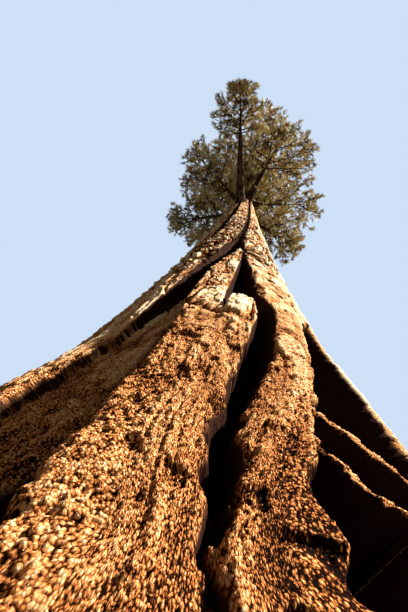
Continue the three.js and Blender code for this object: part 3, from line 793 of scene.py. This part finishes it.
# %% Space of each mass
def add_walls(mass):
    """The walls of a mass's space: a direction each, and how far away the wall stands along it."""
    walls = []
    for other in masses:
        away = (other["centre"] - mass["centre"]) * FLATTEN
        gap = np.linalg.norm(away)
        limit = gap * mass["half_width"] / (mass["half_width"] + other["half_width"])
        if other is not mass and limit < 1.2 * mass["half_width"]:
            walls.append((away / gap, limit))
    inwards = (stem_axis(mass["centre"][2]) - mass["centre"]) * FLATTEN
    from_stem = np.linalg.norm(inwards)
    wood = float(girth(mass["centre"][2]))
    if from_stem > wood:
        walls.append((inwards / from_stem, from_stem - wood))
    mass["walls"] = np.array([direction for direction, _ in walls])
    mass["limits"] = np.array([limit for _, limit in walls]) - WALL_GAP


for mass in masses:
    add_walls(mass)


def used(mass, points):
    """How much of a mass's space is used up at each point: 1 on its boundary."""
    place = (points - mass["centre"]) * FLATTEN
    ball = np.linalg.norm(place, axis=-1) / mass["half_width"]
    return np.maximum(ball, (place @ mass["walls"].T / mass["limits"]).max(-1))


def room_along(mass, places, directions):
    """How far each place is from the boundary along its direction, found by halving."""
    near, far = np.zeros(places.shape[:-1]), np.full(places.shape[:-1], LONGEST_REACH)
    for _ in range(14):
        middle = (near + far) / 2
        inside = used(mass, places + directions * middle[..., None]) < 1
        near, far = np.where(inside, middle, near), np.where(inside, far, middle)
    return near


print(len(masses), "masses of foliage in the plan")

# %% [markdown]
# Boughs, branches and twigs are all tubes: a circle of points carried along a curved path, thinner and
# thinner. One function makes any number of tubes at a time, because their paths are rows of one array.

# %% Tubes along paths
def unit(vectors):
    """Each vector over its own length."""
    return vectors / np.linalg.norm(vectors, axis=-1, keepdims=True)


def copies(points, faces):
    """Copies by corners by 3 as plain rows of points, and the faces of one counted on from copy to copy."""
    starts = points.shape[1] * np.arange(len(points))[:, None, None]
    return points.reshape(-1, 3), (faces[None] + starts).reshape(-1, 3)


def bent_path(start, middle, end, steps):
    """Points on a quadratic curve: each end weighs by the square of the share left to the other end.

    The middle point, towards which the curve bends, weighs by the rest.
    """
    share = np.linspace(0, 1, steps)[:, None]
    start, middle, end = (np.asarray(point)[..., None, :] for point in (start, middle, end))
    return (1 - share) ** 2 * start + 2 * share * (1 - share) * middle + share**2 * end


def tubes(paths, radii, sides):
    """Points and triangles of tubes: a ring of points square to the path at each step.

    Paths are arrays of tubes by steps by 3, and radii of tubes by steps by sides, or by 1.
    """
    count, steps, _ = paths.shape
    along = unit(np.gradient(paths, axis=1))
    general = unit(paths[:, -1] - paths[:, 0])
    helper = np.where(np.abs(general[:, 2:]) < 0.8, UP, np.array([1.0, 0.0, 0.0]))[:, None, :]
    side = unit(np.cross(along, helper))
    other = np.cross(along, side)
    angle = np.arange(sides) * 2 * math.pi / sides
    ring = side[:, :, None] * np.cos(angle)[:, None] + other[:, :, None] * np.sin(angle)[:, None]
    skin = paths[:, :, None] + ring * radii[..., None]
    ends = paths[:, [0, -1]]
    points = np.concatenate([skin.reshape(count, -1, 3), ends], 1)
    return copies(points, np.concatenate(closed_grid(steps, sides)))


# %% [markdown]
# A bough of an old sequoia is a heavy limb. It leaves the trunk nearly level out of a swollen collar, sags
# a little and turns up into its foliage. Its bark is thinner and greyer than the trunk's, with the same
# strands, so its relief is made of the same kind of noise.

# %% Boughs
BOUGH_STEPS, BOUGH_SIDES = 30, 18
BOUGH_ENTERS = 0.8  # how much of the mass's space is used up where the bough ends
BOUGH_THICK, BOUGH_THICK_OF_STEM = 0.2, 0.42  # metres, and share of the stem's girth: the less wins
BOUGH_TIP = 0.42  # of the thickness at its root
COLLAR_SWELL, COLLAR_FADES = 0.45, 0.3
STRAND_RELIEF, LUMP_RELIEF = 0.05, 0.05
STEM_IN_MASS = 0.38  # the stem inside a mass, of the bough's thickness
BOUGH_CONTRAST = 0.07  # relief that moves the colour as far as one unit of the trunk's


def bough_path(mass):
    """The source's curve from the stem's axis to the middle of the mass, as far as it enters the mass."""
    start = stem_axis(mass["height"])
    flat = mass["centre"] - start
    middle = start + 0.5 * flat
    middle[2] = start[2] + 0.12 * flat[2] - 0.04 * np.linalg.norm(flat)
    whole = bent_path(start, middle, mass["centre"], 101)
    end = int(np.argmax(used(mass, whole) < BOUGH_ENTERS))
    begin = int(np.argmax(np.linalg.norm(whole[:, :2] - start[:2], axis=1) > 0.6 * girth(mass["height"])))
    places = np.linspace(begin, end, BOUGH_STEPS)
    return np.array([np.interp(places, np.arange(101), whole[:, axis]) for axis in range(3)]).T


bough_masses_only = [mass for mass in masses if "height" in mass]
paths = np.array([bough_path(mass) for mass in bough_masses_only])
for mass, path in zip(bough_masses_only, paths):
    mass["heading"] = unit(path[-1] - path[-2])
    mass["root"] = path[-1]
stems = girth(np.array([mass["height"] for mass in bough_masses_only]))
thick = np.minimum(BOUGH_THICK, BOUGH_THICK_OF_STEM * stems)[:, None]
share = np.linspace(0, 1, BOUGH_STEPS)
out = np.linalg.norm(paths - paths[:, :1], axis=-1)
plain = thick * (between(1, BOUGH_TIP, share) + COLLAR_SWELL * np.exp(-out / COLLAR_FADES))
rng = np.random.default_rng(31)
strands = rng.normal(0, 1, (len(paths), 1, BOUGH_SIDES))
lumps = rng.normal(0, 1, (len(paths), BOUGH_STEPS, BOUGH_SIDES))
lumps = (lumps + np.roll(lumps, 1, 1) + np.roll(lumps, 1, 2)) / 1.7
bough_relief = STRAND_RELIEF * strands + LUMP_RELIEF * lumps
for mass, radius in zip(bough_masses_only, thick[:, 0]):
    mass["stem"] = STEM_IN_MASS * radius
points, faces = tubes(paths, plain[..., None] * (1 + bough_relief), BOUGH_SIDES)
boughs = put_mesh("boughs", points, faces)
cap_zeros = np.zeros((len(paths), 2))
per_point = np.concatenate([(bough_relief / BOUGH_CONTRAST).reshape(len(paths), -1), cap_zeros], 1).ravel()
paint_points(boughs, proud=per_point, hollow=np.full(len(points), 0.25), grain=points * 2)
GREY_BARK = [
    (0.10, (0.008, 0.005, 0.003)),
    (0.35, (0.045, 0.027, 0.016)),
    (0.60, (0.110, 0.070, 0.040)),
    (0.90, (0.220, 0.150, 0.095)),
]
bough_bark = bark_material("bough_bark", GREY_BARK, fibre_scale=14.0, bump=0.03)
finish_piece(boughs, [bough_bark], [name for name in NODES if name.startswith("bough_")])

# %% [markdown]
# Inside each mass the bough grows on as a stem, and the source's rule takes over: branches leave the stem
# by the golden angle, each to near the boundary of the space. The solid stops at a few branches. Here the
# same rule goes on: every branch bears twigs to its left and right, and every twig bears sprays. All the
# branches of a mass are worked out at once.

# %% Directions and places on a path
def square_to(directions, angles):
    """A direction square to each one given, turned round it by an angle in degrees."""
    helper = np.where(np.abs(directions[..., 2:]) < 0.9, UP, np.array([1.0, 0.0, 0.0]))
    side = unit(np.cross(directions, helper))
    angles = np.radians(angles)[..., None]
    return side * np.cos(angles) + np.cross(directions, side) * np.sin(angles)


def tipped(directions, sides, angles):
    """Each direction tipped by an angle in degrees towards a direction square to it."""
    angles = np.radians(angles)[..., None]
    return directions * np.cos(angles) + sides * np.sin(angles)


def on_path(paths, share):
    """The point and the direction at a share of the way along each path."""
    steps = paths.shape[-2] - 1
    place = np.clip(share * steps, 0, steps - 1e-6)
    low = place.astype(int)
    rows = np.arange(len(paths))[:, None] + np.zeros_like(low)
    here, there = paths[rows, low], paths[rows, low + 1]
    return between(here, there, (place - low)[..., None]), unit(there - here)


# %% Stem and branches of a mass
BRANCHES, TWIGS, SPRAYS = 24, 9, 6
BRANCH_ANGLE, TWIG_ANGLE, SPRAY_ANGLE = 56, 52, 46
SHORTEST_BRANCH, SHORTEST_TWIG, SHORTEST_SPRAY = 0.25, 0.12, 0.1
NEAR_TIP = 0.93  # from this share of the way on, a shoot carries on nearly straight


def stem_of(mass):
    """The bough's way carried on through the middle of the mass, and the direction it goes."""
    root, heading, centre = mass["root"], mass["heading"], mass["centre"]
    outwards = unit(between(unit(centre - root), heading, 0.3))
    bend = root + heading * 0.35 * np.linalg.norm(centre - root)
    far = centre + outwards * 0.75 * room_along(mass, centre[None], outwards[None])[0]
    return bent_path(root, bend, far, 9)[None], outwards


def branches_of(mass, stem, outwards, draw):
    """Branches a golden angle apart, tipped less towards the stem's end, each to near the boundary."""
    k = np.arange(BRANCHES)
    share = (k + 0.6) / BRANCHES
    place = on_path(stem, (0.1 + 0.9 * share)[None])[0][0]
    along = np.broadcast_to(outwards, place.shape)
    turn = GOLDEN_ANGLE * k + 40 * draw.random(BRANCHES)
    direction = tipped(along, square_to(along, turn), between(1.5, 0.35, share) * BRANCH_ANGLE)
    reach = room_along(mass, place, direction) * between(0.72, 0.92, draw.random(BRANCHES))
    tip = place + direction * reach[:, None]
    middle = between(place, tip, 0.5) - UP * 0.09 * reach[:, None]
    return bent_path(place, middle, tip, 6)[reach > SHORTEST_BRANCH]


# %% Twigs and sprays of a mass
def shoots(paths, number, start, rest, scatter, draw):
    """Where shoots leave each path: share of the way, place, direction of the path, turn round it.

    They are spread by chance over the rest of the path from start on, left and right by turns.
    """
    share = (np.arange(number) + draw.random((len(paths), number))) / number
    share = start + rest * share
    place, along = on_path(paths, share)
    hand = np.where(np.arange(number) % 2, 90, -90) + scatter * draw.normal(0, 1, share.shape)
    return share, place, along, hand


def twigs_of(mass, branches, draw):
    """Twigs along each branch, shorter towards its tip, that start a little upwards and sag."""
    share, place, along, hand = shoots(branches, TWIGS, 0.22, 0.78, 45, draw)
    angle = TWIG_ANGLE * np.where(share > NEAR_TIP, 0.25, between(1.15, 0.7, share))
    direction = unit(tipped(along, square_to(along, hand), angle) + UP * 0.15)
    length = between(0.75, 0.4, share) * between(0.6, 1.2, draw.random(share.shape))
    reach = np.minimum(room_along(mass, place, direction) * 0.9, length)
    keep = reach > SHORTEST_TWIG
    place, direction, reach = place[keep], direction[keep], reach[keep][:, None]
    tip = place + direction * reach
    return bent_path(place, between(place, tip, 0.5) - UP * 0.06 * reach, tip, 3)


def spray_places(mass, twigs, draw):
    """Place, direction, length and flat side of each spray, and its tuft: the number of its twig."""
    share, place, along, hand = shoots(twigs, SPRAYS, 0.55, 0.45, 50, draw)
    angle = SPRAY_ANGLE * np.where(share > NEAR_TIP, 0.2, 1) * between(0.7, 1.8, draw.random(share.shape))
    direction = unit(tipped(along, square_to(along, hand), angle) + UP * 0.1)
    length = between(0.15, 0.29, draw.random(share.shape))
    place, direction, length = (array.reshape(share.size, -1) for array in (place, direction, length))
    length = np.minimum(length, room_along(mass, place, direction)[:, None] + 0.08)
    keep = length[:, 0] > SHORTEST_SPRAY
    direction = direction[keep]
    tuft = np.repeat(np.arange(len(twigs)), SPRAYS)
    return {
        "place": place[keep], "direction": direction, "length": length[keep], "tuft": tuft[keep],
        "flat": square_to(direction, 70 * draw.normal(0, 1, len(direction))),
    }


def grow(mass, seed):
    """All that grows in one mass, from one seed."""
    draw = np.random.default_rng(seed)
    stem, outwards = stem_of(mass)
    branches = branches_of(mass, stem, outwards, draw)
    twigs = twigs_of(mass, branches, draw)
    return {"stem": stem, "branches": branches, "twigs": twigs, **spray_places(mass, twigs, draw)}


for number, mass in enumerate(masses):
    mass["grown"] = grow(mass, 500 + number)
print(sum(len(mass["grown"]["place"]) for mass in masses), "sprays")

# %% [markdown]
# The twigs of each storey of the crown are joined into one piece, stems, branches and twigs together. They
# take the boughs' bark.

# %% Branches and twigs
def joined(parts):
    """Several (points, faces) pairs as one: the faces of each are counted on from the points before it."""
    starts = np.cumsum([0] + [len(points) for points, _ in parts[:-1]])
    all_points = np.concatenate([points for points, _ in parts])
    all_faces = np.concatenate([faces + start for (_, faces), start in zip(parts, starts)])
    return all_points, all_faces


def tapering(paths, thick, thin):
    """Radii that go evenly from thick to thin along each path."""
    count, steps, _ = paths.shape
    return np.broadcast_to(np.linspace(thick, thin, steps)[None, :, None], (count, steps, 1))


def wood_of(mass):
    """Stem, branches and twigs of a mass as tubes of six, four and three sides."""
    stem, branches, twigs = (mass["grown"][part] for part in ("stem", "branches", "twigs"))
    return joined([
        tubes(stem, tapering(stem, mass.get("stem", 0.05), 0.022), 6),
        tubes(branches, tapering(branches, 0.026, 0.010), 4),
        tubes(twigs, tapering(twigs, 0.011, 0.005), 3),
    ])


STOREYS = {"lower": masses[:7], "middle": masses[7:14], "upper": masses[14:20], "leader": masses[20:]}
for storey, group in STOREYS.items():
    points, faces = joined([wood_of(mass) for mass in group])
    twigs = put_mesh("twigs_" + storey, points, faces)
    paint_points(twigs, proud=np.zeros(len(points)), hollow=np.full(len(points), 0.2), grain=points * 2)
    finish_piece(twigs, [bough_bark], ["foliage_" + mass["name"] for mass in group])

# %% [markdown]
# A sequoia's leaves are small awls that clothe the last twigs like cords, and the cords stand in flat,
# feathery sprays. Each spray here is one cord with shorter cords to its left and right, each a slim
# three-sided spike, closed at its foot: a shape of twenty faces, because it is repeated thousands of times.
# Each gets one plain colour of leaf out of five: darker deep inside, lighter and yellower towards the
# outside and the top of its mass, which is painted shade and painted light. The sprays of one twig are a
# tuft, and chance moves a whole tuft more than a single spray, so that the crown is mottled in clumps.

# %% Sprays of leaves
# foot along the spray, tip along, tip across, tip up, half thickness: all shares of the spray's length
CORDS = np.array([
    (0.00, 1.00, 0.00, 0.02, 0.10),
    (0.05, 0.62, 0.46, 0.12, 0.095),
    (0.15, 0.74, -0.44, -0.10, 0.095),
    (0.30, 0.95, 0.34, -0.12, 0.085),
    (0.38, 1.00, -0.30, 0.13, 0.080),
])


def spray_shape():
    """The spray's own points, 4 to a cord: three round its foot and one at its tip, and its faces."""
    foot = CORDS[:, :1] * np.array([1, 0, 0])
    tip = CORDS[:, 1:4]
    along = unit(tip - foot)
    side = unit(np.cross(along, UP))
    other = np.cross(along, side)
    angle = np.arange(3) * 2 * math.pi / 3
    thick = CORDS[:, 4][:, None, None]
    ring = side[:, None] * np.cos(angle)[:, None] + 0.7 * other[:, None] * np.sin(angle)[:, None]
    points = np.concatenate([foot[:, None] + ring * thick, tip[:, None]], 1)
    return copies(points, np.array([[0, 1, 3], [1, 2, 3], [2, 0, 3], [2, 1, 0]]))


SPRAY_POINTS, SPRAY_FACES = spray_shape()


def sprays_of(grown):
    """All the sprays of a mass: the spray's own points carried to each place, along, across and up."""
    along, flat = grown["direction"], grown["flat"]
    up = np.cross(along, flat)
    axes = np.stack([along, flat, up], 1) * grown["length"][:, :, None]
    return copies(grown["place"][:, None] + SPRAY_POINTS @ axes, SPRAY_FACES)


def leaf_material(name, colour):
    """A plain leaf colour, with fine noise in the roughness for a waxy bloom, and in a bump for scales."""
    material, tree, shader = new_material(name)
    place = add_node(tree, "TexCoord").outputs["Object"]
    scales = add_node(tree, "TexNoise", {"Vector": place, "Scale": 60.0}).outputs["Fac"]
    rough = add_node(tree, "MapRange", {"Value": scales, "To Min": 0.45, "To Max": 0.75})
    relief = add_node(tree, "Bump", {"Height": scales, "Strength": 0.6, "Distance": 0.01})
    feed(tree, shader, {
        "Base Color": (*colour, 1), "Specular IOR Level": 0.15, "Roughness": rough.outputs["Result"],
        "Normal": relief.outputs["Normal"],
    })
    return material


LEAF_COLOURS = {
    "leaf_deep": (0.090, 0.060, 0.022),
    "leaf_brown": (0.430, 0.265, 0.115),
    "leaf_olive": (0.500, 0.380, 0.160),
    "leaf_green": (0.420, 0.420, 0.165),
    "leaf_gold": (0.700, 0.580, 0.320),
}
# what a spray's light must reach for each colour after the first, and how far chance moves it
LIGHT_STEPS = [0.02, 0.22, 0.42, 0.62]
TUFT_CHANCE, SPRAY_CHANCE = 0.34, 0.14
leaf_paints = [leaf_material(name, colour) for name, colour in LEAF_COLOURS.items()]


def leaf_colour_of(mass, draw):
    """Number of each spray's colour: how near the boundary, how high, its tuft's chance and its own."""
    place = mass["grown"]["place"]
    # painted light and shade: sprays near the boundary and high in the mass get lighter colours, those deep
    # inside darker
    light = 0.55 * used(mass, place) + 0.25 * (place[:, 2] - mass["centre"][2]) / mass["half_width"]
    tuft = mass["grown"]["tuft"]
    by_tuft = TUFT_CHANCE * draw.normal(0, 1, tuft.max() + 1)[tuft]
    light += by_tuft + SPRAY_CHANCE * draw.normal(0, 1, len(place))
    return np.digitize(light, LIGHT_STEPS)


draw = np.random.default_rng(61)
for storey, group in STOREYS.items():
    points, faces = joined([sprays_of(mass["grown"]) for mass in group])
    colours = np.concatenate([leaf_colour_of(mass, draw) for mass in group])
    leaves = put_mesh("leaves_" + storey, points, faces, False, np.repeat(colours, len(SPRAY_FACES)))
    finish_piece(leaves, leaf_paints, ["foliage_" + mass["name"] for mass in group])
